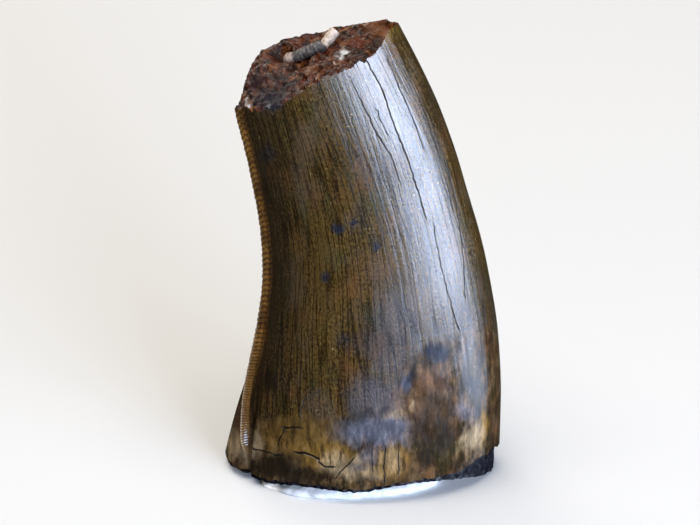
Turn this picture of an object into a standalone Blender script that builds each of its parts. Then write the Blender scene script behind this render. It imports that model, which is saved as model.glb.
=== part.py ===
"""Broken crown of a daspletosaurus tooth, standing on a thin pad of white putty.

The crown is one fossil: a thick, curved blade with a saw-edged keel down its hollow rear edge and
a second saw edge on its inner face. Its upper end and its base are both broken. A small banded
splinter is lodged in the broken upper end.

Sizes are in millimetres and become metres as each mesh is made. +Z is up, +X is towards the
rounded front edge, -X towards the rear keel and -Y towards the outer face. The origin is on the
ground under the middle of the crown.
A place on the crown's wall is an angle round it (0 at the rear, pi at the front, the outer face
between them) and a station along it, from 0 near the base to 1 near the break.
"""

import math

import bmesh
import bpy
import numpy as np
from mathutils import Vector, noise

MM = 0.001

# The crown's side view: its two edges as (x, z), at evenly spaced stations from base to break
REAR_EDGE = ((-11.6, 0.3), (-10.15, 6.8), (-8.45, 13.2), (-7.95, 19.8), (-8.75, 26.3), (-10.2, 32.9))
FRONT_EDGE = ((11.4, 0.3), (11.4, 8.7), (10.5, 17.0), (8.55, 25.0), (6.0, 33.0), (2.4, 40.8))
REAR_LENGTH = 33.3
FRONT_LENGTH = 42.0

# Rims of the broken base and the broken upper end: how far along the crown they are from
# stations 0 and 1, at sixteen even angles from the rear by the outer face
BASE_RIM = (0.4, 0.35, 0.4, 0.85, 0.85, 1.4, 0.95, 0.1, -0.15, 0.05, 0.5, 0.85, 0.65, 0.85, 0.5, 0.25)
BREAK_RIM = (-0.3, 0.0, -0.3, -0.3, 0.05, -0.5, -0.8, -0.3, -0.9, -1.1, -0.8, -0.3, 0.4, 1.45, 1.8, 0.7)
RIM_ROUGHNESS = 0.1
RIM_GRAIN = 0.12

# Depth of each face as a share of the chord, and how much the blade thins towards its edges
OUTER_SHARE = 0.325
INNER_SHARE = 0.315
THINNING = 0.28
THINNING_REACH = 0.8

# The rear keel leaves the rear edge near the base and runs on to the outer face, between a groove
# and the swollen rear end. Starts and tops are stations.
BASE_SHAPE_START = 0.06
BASE_SHAPE_TOP = 0.3
KEEL_HEIGHT = 0.4
KEEL_WIDTH = 0.42
KEEL_START = 0.05
KEEL_FULL = 0.1
KEEL_SHIFT = 0.56
KEEL_SHIFT_LOW = -0.1
KEEL_SHIFT_TOP = 0.5
PINCH = 0.6
PINCH_TOP = 0.22
GROOVE_OFFSET = 1.05
GROOVE_WIDTH = 0.4
GROOVE_DEPTH = 0.12
GROOVE_BASE_DEPTH = 0.45
FOLD_OFFSET = 1.9
FOLD_HEIGHT = 0.2
SWELLING_ANGLE = -0.5
SWELLING_HEIGHT = 0.3

# Saw edges
DENTICLE_HEIGHT = 0.17
DENTICLE_WIDTH = 0.55
DENTICLES_A_ROW = 2
DENTICLE_BLUNTNESS = 0.6
SECOND_EDGE_ANGLE = math.pi + 0.62
SECOND_EDGE_HEIGHT = 0.3
SECOND_EDGE_START = 0.3
SECOND_EDGE_FULL = 0.4

# The enamel's lower edge is a small ledge over the dentine, and stands higher at the front.
ENAMEL_LIFT = 0.35
ENAMEL_DEPTH = 0.12
ENAMEL_LEDGE = 0.06
LOSS_LIFT = 2.2
LOSS_DEPTH = 0.35
LOSS_UNEVENNESS = 0.3
LOSS_BEGINS = (2.1, 2.9)
LOSS_ENDS = (4.0, 5.2)

# Broken faces: hollows (negative) and humps as (place along the chord, depth), spread and height
BREAK_RELIEF = (
    ((13.0, -0.9), (1.4, 2.0), -1.5),
    ((13.2, -2.2), (0.8, 0.8), -0.9),
    ((10.8, -3.1), (2.0, 0.8), 0.6),
    ((7.4, 1.4), (2.8, 1.1), -0.8),
    ((5.9, 0.5), (0.9, 0.7), -0.9),
    ((8.0, 3.9), (3.0, 0.7), 0.3),
)
BREAK_ROUGHNESS = 0.2
BREAK_GRAIN = 0.9
BASE_HOLLOW = 1.1
BASE_ROUGHNESS = 0.12
BASE_GRAIN = 1.7

# Mesh: rows up the wall, columns round it (with finer ones on the saw edges), rings over each break
FOOT_ROWS = 3
WALL_ROWS = 39
FINE_STEPS = 8
KEEL_OFFSETS = (-0.8, -0.36, 0.0, 0.36, 0.8)
GROOVE_OFFSETS = (1.15, 1.9, 2.8)
SECOND_EDGE_OFFSETS = (-0.5, 0.0, 0.5)
OUTER_COLUMNS = 19
INNER_COLUMNS = 9
BREAK_RINGS = (0.93, 0.8, 0.65, 0.5, 0.35, 0.18)
BASE_RINGS = (0.9, 0.72, 0.5, 0.25)

# Splinter: its bent centre line over the break as (along the chord, depth, height), and its
# outline as (distance along that line, radius). It has a tan lump, a banded barrel and a cut peg.
SPLINTER_LINE = ((4.7, 2.1, 0.4), (5.6, 1.85, 0.45), (8.4, 1.0, 0.4), (9.9, 1.9, 0.8))
LUMP_OUTLINE = ((0.0, 0.3), (0.25, 0.5), (0.7, 0.55), (1.0, 0.42))
BAND_START = 1.05
BAND_STEP = 0.36
BANDS = 8
BAND_RADIUS = 0.52
BAND_GROOVE = 0.06
PEG_OUTLINE = ((3.95, 0.5), (4.3, 0.55), (5.35, 0.57), (5.45, 0.52))
SPLINTER_SIDES = 12
SEAT_DROP = 1.1
SEAT_INNER = 0.8
SEAT_OUTER = 1.6

# Putty pad: outline on the ground, and its height at shares of the way in from the edge
PAD_OUTLINE = (
    (-8.4, -3.4), (-7.6, -4.6), (-5.3, -6.05), (-1.2, -6.45), (2.9, -5.7), (5.6, -4.2),
    (6.2, -2.4), (5.6, 0.6), (3.2, 3.4), (-0.6, 4.6), (-4.8, 3.9), (-7.8, 0.9),
)
PAD_SIDES = 36
PAD_RINGS = ((1.0, 0.0), (1.015, 0.25), (0.985, 0.6), (0.9, 0.85), (0.7, 1.0), (0.4, 1.1))
PAD_SQUEEZE = 0.5
PAD_SQUEEZE_END = -4.5

SHARP_CORNER = math.radians(40)
MATERIALS = {
    "tooth": ((0.17, 0.11, 0.05, 1.0), 0.3),
    "lodged_splinter": ((0.42, 0.36, 0.28, 1.0), 0.6),
    "putty_pad": ((0.82, 0.83, 0.85, 1.0), 0.55),
}


def ease(low, high, x):
    """0 below low, 1 above high, and a smooth rise between."""
    share = np.clip((x - low) / (high - low), 0.0, 1.0)
    return share * share * (3 - 2 * share)


def hill(x, width):
    """A smooth ridge of height 1 at x = 0."""
    return np.exp(-((x / width) ** 2))


def grain(x, y, scale, seed):
    """Uneven ground between -1 and 1, with lumps about scale across."""
    heights = [noise.noise(Vector((u / scale, v / scale, seed))) for u, v in zip(np.ravel(x), np.ravel(y))]
    return np.reshape(heights, np.shape(x))


def smooth_piece(a, b, c, d, share):
    """The smooth curve through four values, from b (share = 0) to c (share = 1)."""
    bend = (2 * a - 5 * b + 4 * c - d) * share**2 + (3 * b - a - 3 * c + d) * share**3
    return (2 * b + (c - a) * share + bend) / 2


def edge_point(points, t):
    """The smooth curve through an edge's points, and straight on past its ends."""
    count = len(points) - 1
    known = np.asarray(points, float)
    known = np.vstack([2 * known[0] - known[1], known, 2 * known[-1] - known[-2]])
    inside = np.clip(t, 0.0, 1.0)
    first = np.minimum((inside * count).astype(int), count - 1)
    share = (inside * count - first)[..., None]
    curve = smooth_piece(*(known[first + k] for k in range(4)), share)
    slope = np.where((t > 1)[..., None], known[-1] - known[-2], known[1] - known[0])
    return curve + slope * count * (t - inside)[..., None]


def round_value(values, angle):
    """The smooth closed curve through evenly spaced values, at an angle."""
    known = np.asarray(values, float)
    place = angle / (2 * math.pi) * len(known)
    first = np.floor(place).astype(int)
    share = place - first
    if known.ndim > 1:
        share = share[..., None]
    return smooth_piece(*(known[(first + k) % len(known)] for k in (-1, 0, 1, 2)), share)


def chord(t):
    """Rear edge point, unit direction to the front edge and length of the section at t."""
    rear = edge_point(REAR_EDGE, t)
    across = edge_point(FRONT_EDGE, t) - rear
    length = np.linalg.norm(across, axis=-1)
    return rear, across / length[..., None], length


def signed_turn(angle):
    """The same angle between -pi and pi."""
    return (angle + math.pi) % (2 * math.pi) - math.pi


def section(angle, length):
    """The section's plain outline: distance along the chord from the rear, and depth."""
    turn = np.abs(signed_turn(angle))
    share = np.where(np.sin(angle) >= 0, -OUTER_SHARE, INNER_SHARE)
    depth = share * np.sin(turn) * (1 - THINNING * hill(turn, THINNING_REACH))
    return length * (1 - np.cos(turn)) / 2, length * depth


def section_slope(angle, length):
    """How the section's outline moves on for each radian: along the chord, in depth, and in all."""
    step = 0.02
    along_before, depth_before = section(angle - step, length)
    along_after, depth_after = section(angle + step, length)
    along = (along_after - along_before) / (2 * step)
    depth = (depth_after - depth_before) / (2 * step)
    return along, depth, np.hypot(along, depth)


def keel_angle(t):
    """Where the keel is: at the rear, but on the outer face near the base."""
    return KEEL_SHIFT * (1 - ease(KEEL_SHIFT_LOW, KEEL_SHIFT_TOP, t))


def second_edge_angle(t):
    """Where the second saw edge is."""
    return np.full_like(t, SECOND_EDGE_ANGLE)


def distance_from(middle, angle, length):
    """Millimetres round the wall from a place on it."""
    return signed_turn(angle - middle) * section_slope(middle, length)[2]


def wall_relief(angle, t, length, saw):
    """How far the wall stands out from its plain outline. saw is the denticle wave, from 0 to 1."""
    near_base = 1 - ease(BASE_SHAPE_START, BASE_SHAPE_TOP, t)
    away = distance_from(keel_angle(t), angle, length)
    groove = GROOVE_DEPTH + (GROOVE_BASE_DEPTH - GROOVE_DEPTH) * near_base
    keel = KEEL_HEIGHT * hill(away, KEEL_WIDTH) + DENTICLE_HEIGHT * saw * hill(away, DENTICLE_WIDTH)
    relief = keel * ease(KEEL_START, KEEL_FULL, t)
    pinch = 1 - PINCH * (1 - ease(KEEL_START, PINCH_TOP, t))
    relief -= groove * hill(away - GROOVE_OFFSET * pinch, GROOVE_WIDTH)
    relief += FOLD_HEIGHT * near_base * hill(away - FOLD_OFFSET * pinch, GROOVE_WIDTH)
    relief += SWELLING_HEIGHT * near_base * hill(signed_turn(angle - SWELLING_ANGLE), THINNING_REACH)
    side = distance_from(second_edge_angle(t), angle, length)
    second = (SECOND_EDGE_HEIGHT + DENTICLE_HEIGHT * saw) * hill(side, KEEL_WIDTH)
    return relief + second * ease(SECOND_EDGE_START, SECOND_EDGE_FULL, t)


def wall_point(angle, t, saw, inset):
    """A point of the crown's wall."""
    rear, direction, length = chord(t)
    along, depth = section(angle, length)
    along_slope, depth_slope, rate = section_slope(angle, length)
    out = wall_relief(angle, t, length, saw) - inset
    along = along + out * depth_slope / rate
    depth = depth - out * along_slope / rate
    side = rear + direction * along[..., None]
    return np.stack([side[..., 0], depth, side[..., 1]], axis=-1)


def enamel_loss(angle):
    """How far the enamel is gone round the foot of the crown, from 0 to 1 at the front."""
    turn = angle % (2 * math.pi)
    return ease(*LOSS_BEGINS, turn) * (1 - ease(*LOSS_ENDS, turn))


def column_points(place, fine):
    """The points of one column of the wall, from the base up. place gives its angle at a station."""
    rows = np.arange(FOOT_ROWS + WALL_ROWS + 1.0)
    if fine:
        wall = FOOT_ROWS + np.arange(WALL_ROWS * FINE_STEPS + 1) / FINE_STEPS
        rows = np.concatenate([np.arange(FOOT_ROWS), wall])
    angle = place(np.zeros(1))
    end = place(np.ones(1))
    crown_length = REAR_LENGTH + (FRONT_LENGTH - REAR_LENGTH) * (1 - math.cos(angle[0])) / 2
    loss = enamel_loss(angle)[0]
    uneven = 1 + LOSS_UNEVENNESS * grain(angle, angle, 0.3, 5.5)[0]
    low = round_value(BASE_RIM, angle)[0] + RIM_ROUGHNESS * grain(angle, angle, RIM_GRAIN, 2.5)[0]
    top = round_value(BREAK_RIM, end)[0] + RIM_ROUGHNESS * grain(end, end, RIM_GRAIN, 8.5)[0]
    enamel = low + ENAMEL_LIFT + LOSS_LIFT * loss * uneven
    heights = (low, enamel - ENAMEL_LEDGE, enamel, crown_length + top)
    t = np.interp(rows, (0, FOOT_ROWS - 1, FOOT_ROWS, FOOT_ROWS + WALL_ROWS), heights) / crown_length
    inset = (ENAMEL_DEPTH + LOSS_DEPTH * loss) * np.clip(FOOT_ROWS - rows, 0, 1)
    saw = np.zeros_like(rows)
    if fine:
        wave = np.sin(math.pi * DENTICLES_A_ROW * np.maximum(rows - FOOT_ROWS, 0))
        saw = np.abs(wave) ** DENTICLE_BLUNTNESS
    return wall_point(place(t), t, saw, inset)


def beside(middle, offset):
    """A column a fixed distance round the wall from a saw edge."""
    return lambda t: middle(t) + offset / section_slope(middle(t), chord(t)[2])[2]


def columns_between(one, other, count):
    """Columns evenly spread between two others."""
    return [
        lambda t, share=k / (count + 1): one(t) * (1 - share) + other(t) * share
        for k in range(1, count + 1)
    ]


def wall_columns():
    """Every column, once round the wall from the keel by the outer face, with whether it is fine."""
    keel = [beside(keel_angle, offset) for offset in KEEL_OFFSETS]
    groove = [beside(keel_angle, offset) for offset in GROOVE_OFFSETS]
    second = [beside(second_edge_angle, offset) for offset in SECOND_EDGE_OFFSETS]
    outer = columns_between(groove[-1], second[0], OUTER_COLUMNS)
    inner = columns_between(second[-1], lambda t: keel[0](t) + 2 * math.pi, INNER_COLUMNS)
    columns = [(place, True) for place in keel]
    columns += [(place, False) for place in groove + outer]
    columns += [(place, True) for place in second]
    columns += [(place, False) for place in inner]
    return columns


def zip_faces(mesh, one, other):
    """Triangles between two lines of vertices that run the same way."""
    i = 0
    j = 0
    while i + j < len(one) + len(other) - 2:
        if (i + 0.5) / (len(one) - 1) <= (j + 0.5) / (len(other) - 1):
            mesh.faces.new((one[i], other[j], one[i + 1]))
            i += 1
        else:
            mesh.faces.new((one[i], other[j], other[j + 1]))
            j += 1


def row_start(row, fine):
    """Index of a row's first vertex in its column."""
    if fine and row > FOOT_ROWS:
        return FOOT_ROWS + (row - FOOT_ROWS) * FINE_STEPS
    return row


def add_wall(mesh):
    """Adds the wall's faces, and returns the rings of vertices at its foot and at its top."""
    columns = wall_columns()
    verts = [[mesh.verts.new(point * MM) for point in column_points(*column)] for column in columns]
    for k, (here, (_, fine_here)) in enumerate(zip(verts, columns)):
        there = verts[(k + 1) % len(verts)]
        fine_there = columns[(k + 1) % len(verts)][1]
        for row in range(FOOT_ROWS + WALL_ROWS):
            one = here[row_start(row, fine_here) : row_start(row + 1, fine_here) + 1]
            other = there[row_start(row, fine_there) : row_start(row + 1, fine_there) + 1]
            zip_faces(mesh, one, other)
    return [column[0] for column in verts], [column[-1] for column in verts]


def add_cap(mesh, rim, shares, relief):
    """Closes a rim with rings that shrink to its middle. relief moves points off the plain fan."""
    corners = np.array([vertex.co for vertex in rim]) / MM
    middle = corners.mean(axis=0)
    rings = [rim]
    for share in shares:
        points = middle + (corners - middle) * share
        rings.append([mesh.verts.new(point * MM) for point in points + relief(points, share)])
    centre = mesh.verts.new((middle + relief(middle[None, :], 0.0)[0]) * MM)
    for outer, inner in zip(rings, rings[1:]):
        for k, corner in enumerate(outer):
            after = (k + 1) % len(outer)
            mesh.faces.new((corner, outer[after], inner[after]))
            mesh.faces.new((corner, inner[after], inner[k]))
    for k, corner in enumerate(rings[-1]):
        mesh.faces.new((corner, rings[-1][(k + 1) % len(rim)], centre))


BREAK_REAR, BREAK_ALONG, _ = chord(np.array(1.0))
BREAK_UP = np.array([-BREAK_ALONG[1], BREAK_ALONG[0]])
SPLINTER_REACH = np.cumsum([0, *np.linalg.norm(np.diff(SPLINTER_LINE, axis=0), axis=1)])


def splinter_place(distance):
    """A point of the splinter's centre line: along the chord, in depth and over the break."""
    return np.stack([np.interp(distance, SPLINTER_REACH, column) for column in zip(*SPLINTER_LINE)], axis=-1)


def break_relief(points, share):
    """Hollows, humps and grain of the broken upper end, square to its plane and fading at its rim."""
    side = points[:, (0, 2)] - BREAK_REAR
    along = side @ BREAK_ALONG
    depth = points[:, 1]
    height = BREAK_ROUGHNESS * grain(along, depth, BREAK_GRAIN, 7.7)
    for (at_along, at_depth), (wide, deep), rise in BREAK_RELIEF:
        height += rise * hill(along - at_along, wide) * hill(depth - at_depth, deep)
    height *= 1 - share**6
    line = splinter_place(np.linspace(0, SPLINTER_REACH[-1], 40))
    away = np.hypot(along[:, None] - line[:, 0], depth[:, None] - line[:, 1])
    nearest = away.argmin(axis=1)
    under = 1 - ease(SEAT_INNER, SEAT_OUTER, away.min(axis=1))
    seat = line[nearest, 2] - SEAT_DROP - side @ BREAK_UP
    height = np.minimum(height, height + (seat - height) * under)
    return np.stack([height * BREAK_UP[0], height * 0, height * BREAK_UP[1]], axis=-1)


def base_relief(points, share):
    """The shallow hollow and the grain of the broken underside, fading at its rim."""
    height = BASE_HOLLOW + BASE_ROUGHNESS * grain(points[:, 0], points[:, 1], BASE_GRAIN, 3.1)
    height = height * (1 - share**4)
    return np.stack([height * 0, height * 0, height], axis=-1)


def make_mesh(name, mesh):
    """Mesh data from a bmesh, facing outwards and shaded smooth up to sharp corners."""
    bmesh.ops.recalc_face_normals(mesh, faces=mesh.faces)
    data = bpy.data.meshes.new(name)
    mesh.to_mesh(data)
    mesh.free()
    data.shade_smooth()
    data.set_sharp_from_angle(angle=SHARP_CORNER)
    return data


def make_object(name, data, collection):
    """A named object with its own material."""
    colour, roughness = MATERIALS[name]
    material = bpy.data.materials.new(name)
    material.use_nodes = True
    shader = material.node_tree.nodes["Principled BSDF"]
    shader.inputs["Base Color"].default_value = colour
    shader.inputs["Roughness"].default_value = roughness
    shader.inputs["Metallic"].default_value = 0.0
    data.materials.append(material)
    collection.objects.link(bpy.data.objects.new(name, data))


def make_crown(collection):
    """The tooth: its wall with both saw edges, closed by the broken upper end and the broken base."""
    mesh = bmesh.new()
    foot, top = add_wall(mesh)
    add_cap(mesh, top, BREAK_RINGS, break_relief)
    add_cap(mesh, foot, BASE_RINGS, base_relief)
    make_object("tooth", make_mesh("tooth", mesh), collection)


def make_splinter(collection):
    """The lodged splinter: a lump, a banded barrel and a peg with a flat cut end."""
    outline = list(LUMP_OUTLINE)
    for band in range(BANDS):
        start = BAND_START + band * BAND_STEP
        outline.append((start, BAND_RADIUS - BAND_GROOVE))
        outline.append((start + BAND_STEP / 3, BAND_RADIUS))
        outline.append((start + BAND_STEP * 2 / 3, BAND_RADIUS))
    outline += PEG_OUTLINE
    curve = bpy.data.curves.new("lodged_splinter", "CURVE")
    curve.dimensions = "3D"
    curve.bevel_depth = MM
    curve.bevel_resolution = SPLINTER_SIDES // 2 - 2
    curve.use_fill_caps = True
    spline = curve.splines.new("POLY")
    spline.points.add(len(outline) - 1)
    for point, (distance, radius) in zip(spline.points, outline):
        along, depth, height = splinter_place(distance)
        side = BREAK_REAR + along * BREAK_ALONG + height * BREAK_UP
        point.co = (side[0] * MM, depth * MM, side[1] * MM, 1)
        point.radius = radius
    make_object("lodged_splinter", curve, collection)


def make_pad(collection):
    """The putty pad: flat underneath, rounded at its edge, and squeezed thin at its rear end."""
    angles = np.arange(PAD_SIDES) * 2 * math.pi / PAD_SIDES
    outline = round_value(PAD_OUTLINE, angles)
    middle = outline.mean(axis=0)
    mesh = bmesh.new()
    rings = []
    for share, height in PAD_RINGS:
        plan = middle + (outline - middle) * share
        squeezed = 1 - PAD_SQUEEZE * (1 - ease(PAD_OUTLINE[0][0], PAD_SQUEEZE_END, plan[:, 0]))
        points = np.column_stack([plan, height * squeezed])
        rings.append([mesh.verts.new(point * MM) for point in points])
    for outer, inner in zip(rings, rings[1:]):
        zip_faces(mesh, outer + outer[:1], inner + inner[:1])
    mesh.faces.new(rings[0])
    mesh.faces.new(rings[-1])
    make_object("putty_pad", make_mesh("putty_pad", mesh), collection)


def main():
    for old in list(bpy.data.objects):
        bpy.data.objects.remove(old)
    parts = bpy.data.collections.new("daspletosaurus_tooth")
    bpy.context.scene.collection.children.link(parts)
    make_crown(parts)
    make_splinter(parts)
    make_pad(parts)


main()
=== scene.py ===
"""The looks of a broken daspletosaurus tooth, standing on a pad of white putty."""

import math

import bpy
import numpy as np
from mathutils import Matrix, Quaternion, Vector, geometry, noise


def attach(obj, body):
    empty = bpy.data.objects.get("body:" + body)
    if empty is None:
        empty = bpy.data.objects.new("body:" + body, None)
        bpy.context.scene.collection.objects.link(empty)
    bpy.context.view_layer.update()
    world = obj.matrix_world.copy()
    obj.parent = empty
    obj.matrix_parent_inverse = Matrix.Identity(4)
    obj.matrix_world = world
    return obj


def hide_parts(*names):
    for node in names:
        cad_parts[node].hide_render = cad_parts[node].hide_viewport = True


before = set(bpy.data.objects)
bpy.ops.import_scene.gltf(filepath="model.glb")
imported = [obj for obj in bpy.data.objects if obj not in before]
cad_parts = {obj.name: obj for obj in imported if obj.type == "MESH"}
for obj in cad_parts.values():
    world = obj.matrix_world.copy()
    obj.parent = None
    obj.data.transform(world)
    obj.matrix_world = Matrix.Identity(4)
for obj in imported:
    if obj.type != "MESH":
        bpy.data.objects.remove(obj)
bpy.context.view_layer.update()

# The crown: one fossil tooth, a thick curved blade of dentine under glossy brown enamel. A saw-edged
# keel runs down its hollow rear edge, and its tip and its root are broken off. A place on its wall is
# an angle round it, 0 at the rear and pi at the front by the outer face, and a station t up it.

MM = 0.001
REAR_EDGE = ((-11.6, 0.3), (-10.15, 6.8), (-8.45, 13.2), (-7.95, 19.8), (-8.75, 26.3), (-10.2, 32.9))
FRONT_EDGE = ((11.4, 0.3), (11.4, 8.7), (10.5, 17.0), (8.55, 25.0), (6.0, 33.0), (2.4, 40.8))
REAR_LENGTH = 33.3
FRONT_LENGTH = 42.0
BASE_RIM = (0.4, 0.35, 0.4, 0.85, 0.85, 1.4, 0.95, 0.1, -0.15, 0.05, 0.5, 0.85, 0.65, 0.85, 0.5, 0.25)
BREAK_RIM = (-0.3, 0.0, -0.3, -0.3, 0.05, -0.5, -0.8, -0.3, -0.9, -1.1, -0.8, -0.3, 0.4, 1.45, 1.8, 0.7)
OUTER_SHARE = 0.325
INNER_SHARE = 0.315
THINNING = 0.28
THINNING_REACH = 0.8


def ease(low, high, x):
    """0 below low, 1 above high, and a smooth rise between."""
    share = np.clip((x - low) / (high - low), 0.0, 1.0)
    return share * share * (3 - 2 * share)


def hill(x, width):
    """A smooth ridge of height 1 at x = 0."""
    return np.exp(-((x / width) ** 2))


def grain(x, y, z, scale):
    """Uneven ground between -1 and 1. scale is the size of its lumps along x, y and z."""
    x, y, z = np.broadcast_arrays(x / scale[0], y / scale[1], z / scale[2])
    flat = [noise.noise(Vector(place)) for place in zip(x.ravel(), y.ravel(), z.ravel())]
    return np.reshape(flat, x.shape)


def smooth_piece(a, b, c, d, share):
    """The smooth curve through four values, from b (share = 0) to c (share = 1)."""
    bend = (2 * a - 5 * b + 4 * c - d) * share**2 + (3 * b - a - 3 * c + d) * share**3
    return (2 * b + (c - a) * share + bend) / 2


def edge_point(points, t):
    """The smooth curve through an edge's points, and straight on past its ends."""
    count = len(points) - 1
    known = np.asarray(points, float)
    known = np.vstack([2 * known[0] - known[1], known, 2 * known[-1] - known[-2]])
    inside = np.clip(t, 0.0, 1.0)
    first = np.minimum((inside * count).astype(int), count - 1)
    share = (inside * count - first)[..., None]
    curve = smooth_piece(*(known[first + k] for k in range(4)), share)
    slope = np.where((t > 1)[..., None], known[-1] - known[-2], known[1] - known[0])
    return curve + slope * count * (t - inside)[..., None]


def round_value(values, angle):
    """The smooth closed curve through evenly spaced values, at an angle."""
    known = np.asarray(values, float)
    place = angle / (2 * math.pi) * len(known)
    first = np.floor(place).astype(int)
    return smooth_piece(*(known[(first + k) % len(known)] for k in (-1, 0, 1, 2)), place - first)


def chord(t):
    """Rear edge point, unit direction to the front edge and length of the section at t."""
    rear = edge_point(REAR_EDGE, t)
    across = edge_point(FRONT_EDGE, t) - rear
    length = np.linalg.norm(across, axis=-1)
    return rear, across / length[..., None], length


def signed_turn(angle):
    """The same angle between -pi and pi."""
    return (angle + math.pi) % (2 * math.pi) - math.pi


def section(angle, length):
    """The section's plain outline: distance along the chord from the rear, and depth."""
    turn = np.abs(signed_turn(angle))
    share = np.where(np.sin(angle) >= 0, -OUTER_SHARE, INNER_SHARE)
    depth = share * np.sin(turn) * (1 - THINNING * hill(turn, THINNING_REACH))
    return length * (1 - np.cos(turn)) / 2, length * depth


def section_slope(angle, length):
    """How the outline moves on for each radian: along the chord, in depth, and in all."""
    step = 0.02
    along_before, depth_before = section(angle - step, length)
    along_after, depth_after = section(angle + step, length)
    along = (along_after - along_before) / (2 * step)
    depth = (depth_after - depth_before) / (2 * step)
    return along, depth, np.hypot(along, depth)


KEEL_SHIFT = 0.56
KEEL_SHIFT_LOW = -0.1
KEEL_SHIFT_TOP = 0.5
SECOND_EDGE_ANGLE = math.pi + 0.62


def keel_angle(t):
    """Where the rear keel is: at the rear, but on the outer face near the base."""
    return KEEL_SHIFT * (1 - ease(KEEL_SHIFT_LOW, KEEL_SHIFT_TOP, t))


def second_edge_angle(t):
    """Where the second saw edge is, on the inner face."""
    return np.full_like(t, SECOND_EDGE_ANGLE)


def distance_from(middle, angle, length):
    """Millimetres round the wall from a place on it."""
    return signed_turn(angle - middle) * section_slope(middle, length)[2]


KEEL_HEIGHT = 0.38
KEEL_WIDTH = 0.42
KEEL_START = 0.05
KEEL_FULL = 0.1
BASE_SHAPE_START = 0.06
BASE_SHAPE_TOP = 0.3
PINCH = 0.6
PINCH_TOP = 0.22
GROOVE_OFFSET = 1.05
GROOVE_WIDTH = 0.4
GROOVE_DEPTH = 0.12
GROOVE_BASE_DEPTH = 0.5
FOLD_OFFSET = 1.9
FOLD_HEIGHT = 0.2
SWELLING_ANGLE = -0.5
SWELLING_HEIGHT = 0.3
DENTICLES = 66
BASE_DENTICLES = 76
BASE_DENTICLES_END = (0.2, 0.42)
DENTICLE_HEIGHT = 0.22
DENTICLE_WIDTH = 0.4
DENTICLE_BLUNTNESS = 0.55
DENTICLE_MIDDLE = 0.3
KEEL_NARROWING = 0.45
KEEL_NARROW_END = 0.42
SECOND_EDGE_HEIGHT = 0.3
SECOND_EDGE_START = 0.3
SECOND_EDGE_FULL = 0.4
SECOND_EDGE_WORN = (0.955, 0.99)
SECOND_EDGE_WEAR = 0.7


def keel_parts(angle, t, length):
    """Distance from the keel, and how far off its groove and fold are. They close in near the base."""
    pinch = 1 - PINCH * (1 - ease(KEEL_START, PINCH_TOP, t))
    return distance_from(keel_angle(t), angle, length), GROOVE_OFFSET * pinch, FOLD_OFFSET * pinch


def keel_slimness(t):
    """The keel's share of its full width. It is slimmer near the base."""
    return 1 - KEEL_NARROWING * (1 - ease(KEEL_FULL, KEEL_NARROW_END, t))


def wall_relief(angle, t, length, saw):
    """How far the wall stands out from its plain outline. saw is the denticle wave, from 0 to 1."""
    near_base = 1 - ease(BASE_SHAPE_START, BASE_SHAPE_TOP, t)
    away, groove_at, fold_at = keel_parts(angle, t, length)
    groove = GROOVE_DEPTH + (GROOVE_BASE_DEPTH - GROOVE_DEPTH) * near_base
    slim = keel_slimness(t)
    keel = KEEL_HEIGHT * hill(away, KEEL_WIDTH * slim)
    keel += DENTICLE_HEIGHT * slim * (saw - DENTICLE_MIDDLE) * hill(away, DENTICLE_WIDTH * slim)
    relief = keel * ease(KEEL_START, KEEL_FULL, t)
    relief -= groove * hill(away - groove_at, GROOVE_WIDTH)
    relief += FOLD_HEIGHT * near_base * hill(away - fold_at, GROOVE_WIDTH)
    relief += SWELLING_HEIGHT * near_base * hill(signed_turn(angle - SWELLING_ANGLE), THINNING_REACH)
    side = distance_from(second_edge_angle(t), angle, length)
    second = (SECOND_EDGE_HEIGHT + DENTICLE_HEIGHT * saw) * hill(side, KEEL_WIDTH)
    worn = 1 - SECOND_EDGE_WEAR * ease(*SECOND_EDGE_WORN, t)
    return relief + second * ease(SECOND_EDGE_START, SECOND_EDGE_FULL, t) * worn


def wall_point(angle, t, out):
    """A point of the wall that stands out from the plain outline by out."""
    rear, direction, length = chord(t)
    along, depth = section(angle, length)
    along_slope, depth_slope, rate = section_slope(angle, length)
    along = along + out * depth_slope / rate
    depth = depth - out * along_slope / rate
    side = rear + direction * along[..., None]
    return np.stack([side[..., 0], depth, side[..., 1]], axis=-1)


# The wall's columns: closer on the outer face, and with finer rows on the saw edges
FOOT_ROWS = 5
ROWS = 156
FINE_ROWS = 6
OUTER_SPACING = 0.108
INNER_SPACING = 0.155
KEEL_OFFSETS = np.linspace(-0.55, 1.2, 20)
SECOND_EDGE_OFFSETS = np.linspace(-0.4, 0.4, 7)
MIDDLE = np.array(0.5)

# How far round the wall each angle is, at half height
girth_angles = np.linspace(-1.0, 7.5, 1201)
girth_rates = section_slope(girth_angles, chord(MIDDLE)[2])[2]
girths = np.cumsum((girth_rates + np.roll(girth_rates, 1)) / 2 * (girth_angles[1] - girth_angles[0]))
girths -= np.interp(0.0, girth_angles, girths)


def beside(middle, offset):
    """A column a fixed distance round the wall from a saw edge."""
    return lambda t: middle(t) + offset / section_slope(middle(t), chord(t)[2])[2]


def columns_between(one, other, spacing):
    """Columns between two others, about spacing apart at half height."""
    start, stop = float(one(MIDDLE)), float(other(MIDDLE))
    low, high = np.interp((start, stop), girth_angles, girths)
    between = np.linspace(low, high, int((high - low) / spacing) + 2)[1:-1]
    shares = (np.interp(between, girths, girth_angles) - start) / (stop - start)
    return [lambda t, share=share: one(t) * (1 - share) + other(t) * share for share in shares]


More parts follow.
